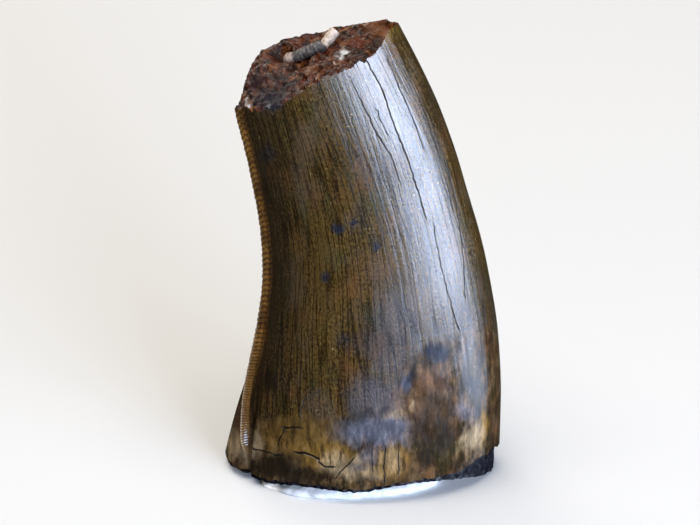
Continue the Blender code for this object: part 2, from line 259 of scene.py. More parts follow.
keel_columns = [beside(keel_angle, offset) for offset in KEEL_OFFSETS]
second_columns = [beside(second_edge_angle, offset) for offset in SECOND_EDGE_OFFSETS]
outer_columns = columns_between(keel_columns[-1], second_columns[0], OUTER_SPACING)
inner_columns = columns_between(second_columns[-1], lambda t: keel_columns[0](t) + 2 * math.pi, INNER_SPACING)
columns = [(column, True) for column in keel_columns] + [(column, False) for column in outer_columns]
columns += [(column, True) for column in second_columns] + [(column, False) for column in inner_columns]

ENAMEL_LIFT = 0.35
ENAMEL_DEPTH = 0.14
ENAMEL_LEDGE = 0.06
LOSS_LIFT = 2.2
LOSS_DEPTH = 0.35
LOSS_BEGINS = (2.1, 2.9)
LOSS_ENDS = (4.0, 5.2)
BREAK_STEP = 0.16
BREAK_STEPS_END = (2.3, 2.6)
DENTICLE_UNEVENNESS = 0.35
# How the lower rim, the enamel's margin and its lost part, and the steps and the rim of the break are
# frayed: the height of each layer of lumps, their size in radians, and where they start in the noise
LOWER_FRAYING = ((0.1, 0.12, 2.5), (0.06, 0.03, 2.5))
ENAMEL_FRAYING = ((0.14, 0.08, 4.5),)
LOSS_FRAYING = ((0.6, 0.3, 5.5), (0.3, 0.07, 6.5))
STEP_FRAYING = ((1.6, 0.07, 8.5),)
UPPER_FRAYING = ((0.08, 0.02, 9.5),)
# How many denticles there are up to each share of the way up: they are smaller near the base
share_up = np.linspace(0.0, 1.0, 501)
denticle_rate = DENTICLES + BASE_DENTICLES * (1 - ease(*BASE_DENTICLES_END, share_up))
denticle_count = np.cumsum(denticle_rate) / len(share_up)


def frayed(turn, layers):
    """An uneven line round the crown."""
    return sum(rise * grain(turn, 0, start, (size, 1, 1)) for rise, size, start in layers)


def column_places(column, fine):
    """Angle, station, inset and denticle wave of one column's points, from the base up."""
    steps = FINE_ROWS if fine else 1
    rows = np.concatenate([np.arange(FOOT_ROWS), FOOT_ROWS + np.arange(ROWS * steps + 1) / steps])
    foot, top = (column(np.array([end])) for end in (0.0, 1.0))
    crown_length = REAR_LENGTH + (FRONT_LENGTH - REAR_LENGTH) * (1 - math.cos(foot[0])) / 2
    turn = foot[0] % (2 * math.pi)
    loss = ease(*LOSS_BEGINS, turn) * (1 - ease(*LOSS_ENDS, turn))
    low = round_value(BASE_RIM, foot) + frayed(foot, LOWER_FRAYING)
    enamel = low + ENAMEL_LIFT + frayed(foot, ENAMEL_FRAYING)
    enamel += loss * (LOSS_LIFT + frayed(foot, LOSS_FRAYING))
    step_height = BREAK_STEP * (1 - ease(*BREAK_STEPS_END, turn))
    high = round_value(BREAK_RIM, top) + step_height * np.round(frayed(top, STEP_FRAYING))
    high += frayed(top, UPPER_FRAYING)
    heights = (low[0], enamel[0] - ENAMEL_LEDGE, enamel[0], crown_length + high[0])
    t = np.interp(rows, (0, FOOT_ROWS - 1, FOOT_ROWS, FOOT_ROWS + ROWS), heights) / crown_length
    inset = (ENAMEL_DEPTH + LOSS_DEPTH * loss) * np.clip(FOOT_ROWS - rows, 0, 1)
    count = np.interp((rows - FOOT_ROWS) / ROWS, share_up, denticle_count)
    wave = np.abs(np.sin(math.pi * count)) ** DENTICLE_BLUNTNESS
    wave = wave * (1 - DENTICLE_UNEVENNESS * np.abs(grain(rows, 0, foot[0] % 2, (2.7, 1, 2))))
    girth = np.full_like(t, np.interp(column(MIDDLE), girth_angles, girths))
    return column(t), t, inset, np.where((rows > FOOT_ROWS) & fine, wave, 0.0), girth


places = [column_places(*column) for column in columns]
starts = np.cumsum([0] + [len(place[0]) for place in places])
angle, station, inset, saw, around = (np.concatenate(values) for values in zip(*places))
up_wall = station * (REAR_LENGTH + (FRONT_LENGTH - REAR_LENGTH) * (1 - np.cos(angle)) / 2)
wall_length = chord(station)[2]

# How the wrinkles wander as they run up the crown
slow_wander = 0.2 * grain(around, up_wall, 1.5, (2.5, 9.0, 1))
quick_wander = 0.06 * grain(around, up_wall, 2.5, (0.9, 2.5, 1))
around = around + slow_wander + quick_wander

# The keel's band: where it fades in and out, in millimetres to each side of its crest
KEEL_BAND_REAR = (-0.6, -0.3)
KEEL_BAND_OUTER = (0.45, 0.85)
keel_away, groove_at, _ = keel_parts(angle, station, wall_length)
keel_share = keel_away / keel_slimness(station)
keel_risen = ease(KEEL_START, KEEL_FULL, station)
on_keel = ease(*KEEL_BAND_REAR, keel_share) * (1 - ease(*KEEL_BAND_OUTER, keel_share)) * keel_risen
plain = wall_point(angle, station, np.zeros_like(angle))

# Where marks are, as seen from the camera: millimetres to the right of the picture's middle and above it
AIM = np.array((-1.157, 0.0, 18.74))
CAMERA_DISTANCE = 400.0
CAMERA_RISE = math.radians(25)
INWARDS = np.array((0.0, math.cos(CAMERA_RISE), -math.sin(CAMERA_RISE)))
UPWARDS = np.array((0.0, math.sin(CAMERA_RISE), math.cos(CAMERA_RISE)))
CAMERA_PLACE = AIM - INWARDS * CAMERA_DISTANCE


def seen(points):
    """Where points are in the picture."""
    sight = points - CAMERA_PLACE
    scale = CAMERA_DISTANCE / (sight @ INWARDS)
    return sight[..., 0] * scale, sight @ UPWARDS * scale


# Cracks of the outer face, by place in the picture: half width, then the places that they run through
OUTER_CRACKS = (
    (0.042, (1.4, 16.6), (2.6, 14.5), (3.4, 12.0), (4.7, 8.7), (5.9, 5.1), (6.3, 3.6)),
    (0.035, (0.1, 15.1), (1.4, 12.3), (2.6, 10.0), (3.3, 9.0), (4.2, 6.6)),
    (0.03, (2.2, 12.6), (3.1, 10.6)),
    (0.03, (3.1, 16.9), (4.0, 14.6), (5.0, 12.4), (6.1, 9.4)),
    (0.025, (7.9, 8.5), (8.9, 4.5), (9.3, 1.0), (9.5, -3.0)),
    (0.03, (6.9, 3.0), (7.6, -0.5), (8.5, -4.0), (9.0, -5.6)),
    (0.03, (-2.4, -10.5), (-3.0, -10.9), (-3.8, -11.3), (-4.0, -12.1), (-4.0, -12.8)),
    (0.055, (-5.4, -13.6), (-4.1, -13.65)),
    (0.03, (-5.4, -13.65), (-5.7, -14.4), (-5.9, -15.0)),
    (0.05, (-8.1, -15.2), (-7.7, -15.5), (-7.1, -15.6), (-6.3, -15.9), (-5.6, -15.9)),
    (0.085, (-4.4, -15.65), (-3.6, -15.8), (-2.6, -16.2)),
    (0.06, (-2.45, -16.6), (-2.0, -16.9), (-1.4, -16.85)),
    (0.04, (0.3, -16.2), (-0.5, -17.0), (-1.2, -17.8)),
    (0.03, (1.8, -15.2), (1.85, -17.4)),
    (0.04, (2.9, -15.2), (2.85, -18.3)),
    (0.035, (4.0, -15.0), (4.0, -17.8)),
)
# Cracks of the inner face, by millimetres round the wall and up it
INNER_CRACKS = (
    (0.05, (33.0, 40.0), (33.8, 33.0), (33.2, 27.0), (34.1, 20.0)),
    (0.035, (37.5, 36.0), (38.4, 30.0), (38.0, 24.5)),
    (0.04, (29.5, 9.0), (31.5, 8.2), (33.0, 9.1), (35.5, 8.4)),
    (0.05, (38.0, 3.0), (38.3, 6.5), (40.5, 7.4)),
    (0.035, (44.0, 12.0), (44.4, 5.0)),
)
CRACK_REACH = (0.25, 0.35)
FAR_FROM_CRACK = 6.0
CRACK_JITTER = 0.12


def crack_distance(right, up, cracks):
    """Signed distance to the nearest crack in half widths, and 1 near a crack but 0 away from all."""
    side = np.full(right.shape, 9.0)
    nearest = np.full(right.shape, 9.0)
    for half_width, *line in cracks:
        for (x0, y0), (x1, y1) in zip(line, line[1:]):
            length = math.hypot(x1 - x0, y1 - y0)
            along = ((right - x0) * (x1 - x0) + (up - y0) * (y1 - y0)) / length**2
            held = np.clip(along, 0, 1)
            away = np.hypot(right - x0 - held * (x1 - x0), up - y0 - held * (y1 - y0))
            across = (right - x0) * (y1 - y0) - (up - y0) * (x1 - x0)
            closer = away < nearest
            side = np.where(closer, np.where(across < 0, -away, away) / half_width, side)
            nearest = np.where(closer, away, nearest)
    return np.clip(side, -FAR_FROM_CRACK, FAR_FROM_CRACK), 1 - ease(*CRACK_REACH, nearest)


jitter_x, jitter_y = (CRACK_JITTER * grain(*(plain + (0, 0, start)).T, (0.5, 0.5, 0.5)) for start in (0, 40))
picture_right, picture_up = seen(plain)
outer_side, outer_near = crack_distance(picture_right + jitter_x, picture_up + jitter_y, OUTER_CRACKS)
inner_side, inner_near = crack_distance(around + jitter_x, up_wall + jitter_y, INNER_CRACKS)
outer_face = plain[:, 1] < 0.5
crack_side = np.where(outer_face, outer_side, inner_side)
crack_near = np.where(outer_face, outer_near, inner_near) * ease(0.02, 0.03, station)

WRINKLE_HEIGHT = 0.016
UNEVENNESS = 0.06
CRUMB_HEIGHT = 0.14
wrinkle = 0.6 * grain(around, up_wall, 3.5, (0.2, 4.0, 1))
wrinkle += 0.9 * grain(around, up_wall, 7.5, (0.5, 8.0, 1))
relief = wall_relief(angle, station, wall_length, saw) - inset
relief += WRINKLE_HEIGHT * wrinkle * (1 - on_keel)
relief += UNEVENNESS * grain(*plain.T, (3.5, 3.5, 5.0))
foot = inset > 0.01
relief += CRUMB_HEIGHT * foot * grain(*plain.T, (0.4, 0.4, 0.4))
wall = wall_point(angle, station, relief)

# The broken upper end: rough, crumbly dentine inside a thin shell of enamel. It is spread over the
# plane of the last section, and each mark is at a distance along the chord and a depth.
BREAK_SPACING = 0.13
SPACING_SHAKE = 0.35
RIM_CLEARANCE = 0.6
# Hollows and lumps of the break: the place, half widths and height of each
BREAK_RELIEF = (
    ((13.1, -0.8), (1.3, 1.9), -1.3),
    ((13.3, -2.2), (0.7, 0.7), -0.9),
    ((11.2, -3.0), (1.7, 0.6), 0.55),
    ((10.2, -2.1), (0.9, 0.5), 0.3),
    ((6.0, 0.4), (0.7, 0.5), -1.0),
    ((8.0, 3.6), (3.4, 0.6), 0.3),
    ((3.4, 0.5), (1.6, 2.0), 0.35),
    ((7.2, -1.9), (1.4, 0.6), 0.35),
    ((11.3, 1.2), (1.3, 1.1), 0.3),
)
SPLINTER_LINE = ((4.7, 2.1, 0.4), (5.6, 1.85, 0.45), (8.4, 1.0, 0.4), (9.9, 1.9, 0.8))
SEAT_SPAN = (0.2, 5.2)
SEAT_DROP = 0.4
SEAT_SIDES = (0.45, 1.1)
FRONT_DIP = 0.35
FRONT_DIP_REACH = (9.0, 12.0)
FRONT_CALM = 0.7
FRONT_CALM_REACH = (11.5, 13.0)
break_rear, break_along, _ = chord(np.array(1.0))
break_up = np.array([-break_along[1], break_along[0]])


def to_break(points):
    """Distance along the chord, depth and height of points over the last section's plane."""
    side = points[..., (0, 2)] - break_rear
    return side @ break_along, points[..., 1], side @ break_up


def from_break(along, depth, height):
    """The reverse of to_break."""
    side = break_rear + np.multiply.outer(along, break_along) + np.multiply.outer(height, break_up)
    return np.stack([side[..., 0], depth, side[..., 1]], axis=-1)


def nearest_rim(points, outline):
    """Distance of points to an outline, and each of its corners' share in them."""
    gap = np.linalg.norm(points[:, None, :] - outline[None, :, :], axis=2)
    weight = 1 / (gap**3 + 1e-6)
    return gap.min(axis=1), weight / weight.sum(axis=1, keepdims=True)


def fill_outline(outline, spacing):
    """Points inside a closed outline, and triangles over the outline's points and then these."""
    low, high = outline.min(axis=0), outline.max(axis=0)
    across, rise = np.meshgrid(*(np.arange(low[k], high[k], spacing) for k in (0, 1)))
    shake = np.random.default_rng(3).uniform(-SPACING_SHAKE, SPACING_SHAKE, (2, across.size)) * spacing
    inside = np.column_stack([across.ravel(), rise.ravel()]) + shake.T
    before, after = outline, np.roll(outline, -1, axis=0)
    x, y = inside[:, :1], inside[:, 1:]
    spans = (before[:, 1] > y) != (after[:, 1] > y)
    rise_share = (y - before[:, 1]) / np.where(after[:, 1] == before[:, 1], 1.0, after[:, 1] - before[:, 1])
    crossed = spans & (x < before[:, 0] + rise_share * (after[:, 0] - before[:, 0]))
    inside = inside[crossed.sum(axis=1) % 2 == 1]
    inside = inside[nearest_rim(inside, outline)[0] > spacing * RIM_CLEARANCE]
    corners = [Vector(point) for point in np.vstack([outline, inside])]
    ring = [(k, (k + 1) % len(outline)) for k in range(len(outline))]
    faces = geometry.delaunay_2d_cdt(corners, ring, [], 1, 1e-7)[2]
    return inside, np.array([face for face in faces if len(face) == 3])


def splinter_place(share):
    """A place on the splinter's line: distance along the chord, depth and height. share is in millimetres."""
    line = np.array(SPLINTER_LINE)
    reach = np.concatenate([[0], np.cumsum(np.linalg.norm(np.diff(line, axis=0), axis=1))])
    return np.stack([np.interp(share, reach, line[:, k]) for k in range(3)], axis=-1)


top_ring = starts[1:] - 1
rim_along, rim_depth, rim_height = to_break(wall[top_ring])
break_outline = np.column_stack([rim_along, rim_depth])
break_plan, break_faces = fill_outline(break_outline, BREAK_SPACING)
rim_gap, rim_share = nearest_rim(break_plan, break_outline)
along, depth = break_plan.T
body = 0.1 + 0.3 * grain(along, depth, 7.7, (1.3, 1.3, 1)) - FRONT_DIP * ease(*FRONT_DIP_REACH, along)
for (x, y), (wide, deep), rise in BREAK_RELIEF:
    body += rise * hill(along - x, wide) * hill(depth - y, deep)
height = rim_share @ rim_height + body * ease(0.05, 0.5, rim_gap)
seat_line = splinter_place(np.linspace(*SEAT_SPAN, 60))
seat_gap = np.hypot(along[:, None] - seat_line[:, 0], depth[:, None] - seat_line[:, 1])
seat_height = seat_line[seat_gap.argmin(axis=1), 2] - SEAT_DROP
in_seat = 1 - ease(*SEAT_SIDES, seat_gap.min(axis=1))
height += (np.minimum(height, seat_height) - height) * in_seat
crumbs = np.array([noise.voronoi(Vector((x / 0.7, y / 0.5, 0.3)))[0][0] for x, y in break_plan])
crumbs = 0.34 * (0.5 - crumbs) + 0.24 * grain(along, depth, 9.7, (0.5, 0.4, 1))
crumbs += 0.07 * grain(along, depth, 2.7, (0.17, 0.17, 1))
crumbs *= 1 - FRONT_CALM * ease(*FRONT_CALM_REACH, along)
height += crumbs * ease(0.02, 0.3, rim_gap)
break_points = from_break(along, depth, height)

# The broken base: a shallow, grainy hollow
BASE_SPACING = 0.3
BASE_HOLLOW = 1.1
foot_ring = starts[:-1]
base_outline = wall[foot_ring][:, :2]
base_plan, base_faces = fill_outline(base_outline, BASE_SPACING)
base_gap, base_share = nearest_rim(base_plan, base_outline)
base_height = base_share @ wall[foot_ring][:, 2] + BASE_HOLLOW * ease(0.0, 2.5, base_gap)
base_grit = 0.25 * grain(*base_plan.T, 3.1, (0.8, 0.8, 1)) + 0.1 * grain(*base_plan.T, 5.1, (0.35, 0.35, 1))
base_height += base_grit * ease(0.1, 0.8, base_gap)
base_points = np.column_stack([base_plan, base_height])

points = np.vstack([wall, break_points, base_points])
break_start, base_start = len(wall), len(wall) + len(break_points)


def strip(one, other):
    """Faces between two neighbouring columns. A coarse row meets several fine ones."""
    fine_one, fine_other = columns[one][1], columns[other][1]
    half = FINE_ROWS // 2
    a, b = starts[one], starts[other]
    faces = [(a + k, b + k, b + k + 1, a + k + 1) for k in range(FOOT_ROWS)]
    if fine_one == fine_other:
        rows = range(FOOT_ROWS, FOOT_ROWS + ROWS * (FINE_ROWS if fine_one else 1))
        return faces + [(a + k, b + k, b + k + 1, a + k + 1) for k in rows]
    for row in range(ROWS):
        if fine_one:
            f, c = a + FOOT_ROWS + row * FINE_ROWS, b + FOOT_ROWS + row
            faces += [(f + k, c + (k >= half), f + k + 1) for k in range(FINE_ROWS)] + [(f + half, c, c + 1)]
        else:
            f, c = b + FOOT_ROWS + row * FINE_ROWS, a + FOOT_ROWS + row
            faces += [(c + (k >= half), f + k, f + k + 1) for k in range(FINE_ROWS)] + [(c, f + half, c + 1)]
    return faces


def turned(plan, faces, upwards):
    """Flat triangles turned so that they all face up, or all face down."""
    a, b, c = (plan[faces[:, k]] for k in range(3))
    area = (b[:, 0] - a[:, 0]) * (c[:, 1] - a[:, 1]) - (b[:, 1] - a[:, 1]) * (c[:, 0] - a[:, 0])
    return np.where(((area > 0) == upwards)[:, None], faces, faces[:, ::-1])


def joined(faces, ring, start):
    """A cap's triangles by the whole mesh's numbering: its ring's points first, then its own."""
    numbers = np.concatenate([ring, start + np.arange(faces.max() + 1 - len(ring))])
    return [tuple(face) for face in numbers[faces].tolist()]


wall_faces = [face for k in range(len(columns)) for face in strip(k, (k + 1) % len(columns))]
break_faces = turned(np.vstack([break_outline, break_plan]), break_faces, True)
base_faces = turned(np.vstack([base_outline, base_plan]), base_faces, False)
cap_faces = joined(break_faces, top_ring, break_start) + joined(base_faces, foot_ring, base_start)


def make_piece(name, points, faces, replaced, smooth_angle):
    """A new piece of the object, smooth except at its sharp edges, in the place of a solid."""
    mesh = bpy.data.meshes.new(name)
    mesh.from_pydata((points * MM).tolist(), [], [tuple(map(int, face)) for face in faces])
    mesh.shade_smooth()
    mesh.set_sharp_from_angle(angle=math.radians(smooth_angle))
    piece = bpy.data.objects.new(name, mesh)
    bpy.context.scene.collection.objects.link(piece)
    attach(piece, "root")
    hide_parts(replaced)
    return piece


crown = make_piece("fossil_crown", points, wall_faces + cap_faces, "tooth", 48)

# Colour marks by place in the picture: the place, its spread, and its strength
MARKS = {
    "ink": (
        ((7.1, -7.4), (0.9, 0.8), 1.0), ((10.1, -10.1), (0.7, 0.8), 0.6), ((0.2, 3.5), (0.4, 0.35), 1.0),
        ((2.3, 1.4), (0.5, 0.5), 1.0), ((-1.0, 2.9), (0.5, 0.4), 1.0), ((-2.0, -0.9), (0.4, 0.45), 0.9),
        ((-0.4, -6.0), (0.6, 0.6), 0.6), ((-7.2, -7.2), (0.35, 0.4), 0.7), ((4.8, -9.6), (0.5, 0.6), 0.8),
        ((0.2, -6.6), (1.6, 1.0), 0.3), ((-6.9, 9.0), (0.6, 0.8), 0.5),
        ((-6.5, 13.7), (1.6, 0.9), 1.0), ((-5.2, 14.5), (1.0, 0.6), 0.8), ((-7.7, 14.4), (0.8, 1.2), 0.6),
    ),
    "ochre": (
        ((-4.3, -14.4), (3.8, 1.6), 0.72), ((-2.0, -15.9), (2.4, 1.3), 0.9), ((3.8, -16.4), (1.3, 1.5), 0.9),
        ((1.8, -17.3), (2.6, 0.6), 0.6), ((11.0, -13.7), (0.5, 1.5), 0.9), ((-2.8, -2.5), (2.4, 7.0), 0.16),
        ((2.6, 19.0), (1.1, 1.2), 0.9), ((-3.2, 15.9), (0.8, 0.4), 0.8), ((-8.6, 13.4), (0.5, 0.4), 0.6),
    ),
    "cream": (
        ((-1.3, -16.6), (1.2, 1.0), 0.5), ((-0.3, -17.5), (1.3, 0.6), 0.5), ((1.6, -17.5), (1.1, 0.7), 0.4),
        ((0.6, -16.3), (0.8, 0.7), 0.35), ((3.8, -12.6), (0.8, 0.6), 0.25), ((5.2, -11.7), (0.35, 0.6), 0.4),
        ((3.5, -16.3), (0.9, 1.1), 0.4), ((10.2, -14.3), (0.8, 1.3), 0.6), ((-9.6, -15.0), (1.0, 1.4), 0.8),
        # the cream mark at (-8.4, -15.6) is a painted highlight on the fold's ridge
        ((-8.0, -14.9), (0.6, 1.1), 0.45), ((-8.4, -15.6), (0.4, 1.2), 0.6), ((-8.5, 13.1), (0.2, 0.3), 0.5),
        # on the break the cream marks are pale crumbs, and the one at (-0.75, 17.3) is a painted highlight
        ((-6.4, 12.9), (0.5, 0.2), 0.25), ((-0.75, 17.3), (0.4, 0.26), 1.0),
    ),
    "slate_and_sheen": (
        ((2.1, -13.85), (3.2, 1.3), 0.85), ((3.7, -14.7), (1.2, 0.6), 0.7), ((4.6, -9.9), (0.7, 0.8), 0.8),
        # the two broad slate marks at (2.0, -11.2) and (3.6, -6.5) are a painted cool sheen; the other slate
        # marks are slate-grey patches
        ((2.0, -11.2), (2.4, 2.3), 0.45), ((3.6, -6.5), (2.4, 4.5), 0.25), ((1.5, -15.9), (0.9, 0.9), 0.4),
        ((0.7, -17.1), (0.8, 0.5), 0.5), ((9.5, -12.2), (0.9, 1.0), 0.5), ((-7.2, 15.8), (2.0, 2.4), 0.8),
    ),
    "umber": (
        ((-6.5, -9.8), (0.6, 1.2), 1.0), ((-6.2, -16.8), (2.4, 1.0), 1.0), ((-3.8, -17.8), (2.2, 1.0), 1.0),
        ((-1.6, -18.9), (1.2, 0.4), 1.0), ((6.1, -13.9), (1.0, 2.6), 0.85), ((6.4, -15.9), (0.8, 1.3), 0.9),
        ((-4.6, -14.0), (2.4, 0.8), 0.3), ((7.6, -13.0), (1.6, 2.6), 0.6),
        ((7.5, -14.3), (1.2, 2.6), 1.0), ((7.2, -11.6), (1.0, 1.0), 0.7), ((-6.7, 2.0), (2.2, 13.0), 0.45),
        ((9.5, -17.0), (2.0, 0.9), 0.8), ((11.7, -15.4), (0.7, 1.8), 0.9),
        # the umber mark at (-4.6, 16.0) is a painted shadow in the pit under the splinter's lump
        ((-5.4, -14.3), (0.35, 0.9), 0.5), ((2.2, 18.3), (0.6, 0.6), 1.0), ((-4.6, 16.0), (0.7, 0.5), 0.9),
        ((0.7, 17.3), (1.2, 0.6), 0.6), ((7.0, 14.0), (1.4, 4.0), 0.45), ((11.6, -2.0), (1.3, 5.0), 0.4),
        ((12.3, -8.0), (1.6, 5.0), 0.4), ((12.4, -12.5), (1.2, 2.5), 0.5),
    ),
    "rust": (
        ((6.2, -10.0), (0.5, 0.5), 1.0), ((6.8, -9.8), (1.4, 1.4), 0.7), ((8.4, -13.8), (0.5, 1.2), 0.5),
        ((6.9, -12.0), (2.4, 2.0), 0.4), ((5.0, -17.0), (1.5, 1.2), 0.3),
        ((-9.2, -12.2), (0.8, 1.4), 0.8), ((-10.0, -17.0), (0.9, 0.8), 0.9), ((1.8, -0.3), (1.8, 1.2), 0.25),
        ((-2.0, 17.0), (4.0, 1.6), 0.7),
    ),
}
RAGGEDNESS = 0.55
MARK_FADE = (0.4, 1.35)
SMOOTH_FADE = (-0.8, 0.6)
INNER_SHIFT = 5.0
# Below this line in the picture the enamel is smooth: its places to the right and above the middle
SMOOTH_EDGE = (
    (-10.0, -12.85), (-1.6, -12.8), (-0.4, -12.2), (1.6, -12.0),
    (3.7, -11.0), (4.5, -8.5), (6.6, -6.8), (13.0, -5.0),
)
# The inner face has the outer face's marks in mirror image, shifted here and there
mirrored = points * np.array((1.0, 0.0, 1.0)) - np.abs(points) * np.array((0.0, 1.0, 0.0))
mirrored[break_start:] = points[break_start:]
mark_right, mark_up = seen(mirrored)
inner_share = ease(0.0, 3.0, points[:, 1])
inner_share[break_start:] = 0.0
shift = INNER_SHIFT * inner_share * grain(*points.T, (5.0, 5.0, 5.0))
mark_right, mark_up = mark_right + shift, mark_up - shift
ragged = [
    grain(*(points.T + start), (1.3, 1.3, 2.0)) + 0.6 * grain(*(points.T + start), (0.35, 0.35, 0.6))
    for start in (3, 31)
]


def marked(marks):
    """How strongly each point is marked, with ragged edges."""
    strength = np.zeros(len(points))
    for (x, y), (wide, tall), full in marks:
        off_right = (mark_right + RAGGEDNESS * ragged[0] - x) / wide
        off_up = (mark_up + RAGGEDNESS * ragged[1] - y) / tall
        strength = np.maximum(strength, full * (1 - ease(*MARK_FADE, np.hypot(off_right, off_up))))
    return strength


def keep_values(piece, name, values):
    """Stores a number for each point of a piece, for its material."""
    piece.data.attributes.new(name, "FLOAT", "POINT").data.foreach_set("value", values.astype(np.float32))


def for_all(wall_values, elsewhere=0.0):
    """Values of the wall's points, and one value for the points of both ends."""
    return np.concatenate([wall_values, np.full(len(points) - len(wall), elsewhere)])


for mark_name, marks in MARKS.items():
    keep_values(crown, mark_name, marked(marks))
above_edge = mark_up + 0.5 * ragged[1] - np.interp(mark_right, *zip(*SMOOTH_EDGE))
keep_values(crown, "smooth", 1 - ease(*SMOOTH_FADE, above_edge))
keep_values(crown, "crack_side", for_all(crack_side, FAR_FROM_CRACK))
# Beside the keel there is a groove near the base, darkened with painted shade, and a ribbed flank above. The
# keel's crest carries painted highlights on its denticle tips
TROUGH_WIDTH = 0.45
TROUGH_START = (0.02, 0.05)
TROUGH_END = (0.25, 0.45)
FLANK_INNER = (0.3, 0.6)
FLANK_OUTER = (0.8, 1.2)
FLANK_START = (0.2, 0.4)
CREST_PLACE = -0.1
CREST_WIDTH = 0.17
groove_shade = hill(keel_away - groove_at - 0.1, TROUGH_WIDTH) * ease(*TROUGH_START, station)
groove_shade *= 1 - 0.85 * ease(*TROUGH_END, station)
flank = ease(*FLANK_INNER, keel_away) * (1 - ease(*FLANK_OUTER, keel_away)) * ease(*FLANK_START, station)
crest = hill(keel_share - CREST_PLACE, CREST_WIDTH) * keel_risen
for name, values in (
    ("crack_near", crack_near), ("groove_shade", groove_shade), ("flank", flank), ("keel", on_keel), ("saw", saw),
    ("crest", crest),
):
    keep_values(crown, name, for_all(values))
grown = np.zeros((len(points), 3), np.float32)
grown[: len(wall)] = np.column_stack([around, up_wall, np.zeros_like(around)])
crown.data.attributes.new("grown", "FLOAT_VECTOR", "POINT").data.foreach_set("vector", grown.ravel())


# The crown's materials
def put(tree, kind, feeds=None, **settings):
    """A new shader node. feeds gives its inputs a value or another node's output each."""
    made = tree.nodes.new("ShaderNode" + kind)
    for name, value in settings.items():
        setattr(made, name, value)
    for name, value in (feeds or {}).items():
        if isinstance(value, bpy.types.NodeSocket):
            tree.links.new(value, made.inputs[name])
        else:
            made.inputs[name].default_value = value
    return made


def stored(tree, name):
    """A number kept on the mesh."""
    return put(tree, "Attribute", attribute_name=name).outputs["Fac"]


def calc(tree, operation, one, other=0.0):
    """One sum on numbers."""
    return put(tree, "Math", {0: one, 1: other}, operation=operation).outputs[0]


def times(tree, one, other):
    """The product of two numbers."""
    return calc(tree, "MULTIPLY", one, other)


def lumps(tree, vector, scale, offset, detail, roughness):
    """Soft noise from 0 to 1 over a place in millimetres. scale is its waves for each millimetre."""
    place = put(tree, "Mapping", {"Vector": vector, "Scale": scale, "Location": (offset, offset, offset)})
    feeds = {"Vector": place.outputs[0], "Scale": 1.0, "Detail": detail, "Roughness": roughness}
    return put(tree, "TexNoise", feeds).outputs["Fac"]


def span(tree, value, low, high, out_low=0.0, out_high=1.0):
    """A number brought from one range to another, smoothly."""
    feeds = {"Value": value, "From Min": low, "From Max": high, "To Min": out_low, "To Max": out_high}
    return put(tree, "MapRange", feeds, interpolation_type="SMOOTHSTEP").outputs[0]


def tint(tree, share, under, over, way="MIX"):
    """One colour laid over another."""
    feeds = {"Factor": share, 6: under, 7: over}
    return put(tree, "Mix", feeds, data_type="RGBA", blend_type=way, clamp_factor=True).outputs[2]


def colour_of(red, green, blue):
    """A colour for a node, from plain light shares."""
    return (red, green, blue, 1.0)


def wash(tree, coat, share, shade):
    """A coat with a plain colour laid over it."""
    return tint(tree, share, coat, colour_of(*shade))


def shades(tree, value, *stops):
    """A smooth run of colours: each stop is its place and its red, green and blue."""
    made = put(tree, "ValToRGB", {"Fac": value})
    ramp = made.color_ramp
    while len(ramp.elements) < len(stops):
        ramp.elements.new(0.5)
    for element, (place, *shade) in zip(ramp.elements, stops):
        element.position = place
        element.color = colour_of(*shade)
    return made.outputs["Color"]


def new_material(name, **constants):
    """A material with one plain surface shader, its constants set on the shader's own sockets."""
    material = bpy.data.materials.new(name)
    material.use_nodes = True
    tree = material.node_tree
    tree.nodes.clear()
    shader = put(tree, "BsdfPrincipled")
    for socket, value in constants.items():
        shader.inputs[socket.replace("_", " ")].default_value = value
    tree.links.new(shader.outputs[0], put(tree, "OutputMaterial").inputs["Surface"])
    return material, tree, shader


def in_millimetres(tree):
    """The place of a point of the surface, in millimetres."""
    place = put(tree, "TexCoord").outputs["Object"]
    return put(tree, "Mapping", {"Vector": place, "Scale": (1000, 1000, 1000)}).outputs[0]


def finish_surface(tree, shader, colour, roughness, *bumps):
    """Joins colour, roughness and bumps to the shader. Each bump is its height in metres and its shape."""
    tree.links.new(colour, shader.inputs["Base Color"])
    tree.links.new(roughness, shader.inputs["Roughness"])
    feeds = {}
    for rise, shape in bumps:
        feeds = {**feeds, "Height": shape, "Distance": rise, "Strength": 1.0}
        feeds["Normal"] = put(tree, "Bump", feeds).outputs[0]
    tree.links.new(feeds["Normal"], shader.inputs["Normal"])


def clouded(tree, coat, place, layers):
    """A coat with soft patches of other colours. Each has its noise's scale and offset, the range of the
    noise that it fades in over, its colour and its strength."""
    for scale, offset, low, high, shade, strength in layers:
        patch = span(tree, lumps(tree, place, scale, offset, 4.0, 0.6), low, high, 0.0, strength)
        coat = wash(tree, coat, patch, shade)
    return coat


def stained(tree, coat, layers):
    """A coat with colours laid where the mesh is marked, one after another."""
    for mark_name, shade, strength in layers:
        coat = wash(tree, coat, times(tree, stored(tree, mark_name), strength), shade)
    return coat


def ridged(tree, vector, scale, groove):
    """Long ridges with thin grooves between them, from 0 in a groove to 1 on a crest. groove is its share."""
    place = put(tree, "Mapping", {"Vector": vector, "Scale": scale})
    feeds = {"Vector": place.outputs[0], "Scale": 1.0}
    cells = put(tree, "TexVoronoi", feeds, feature="DISTANCE_TO_EDGE", voronoi_dimensions="2D")
    return span(tree, cells.outputs["Distance"], 0.0, groove)
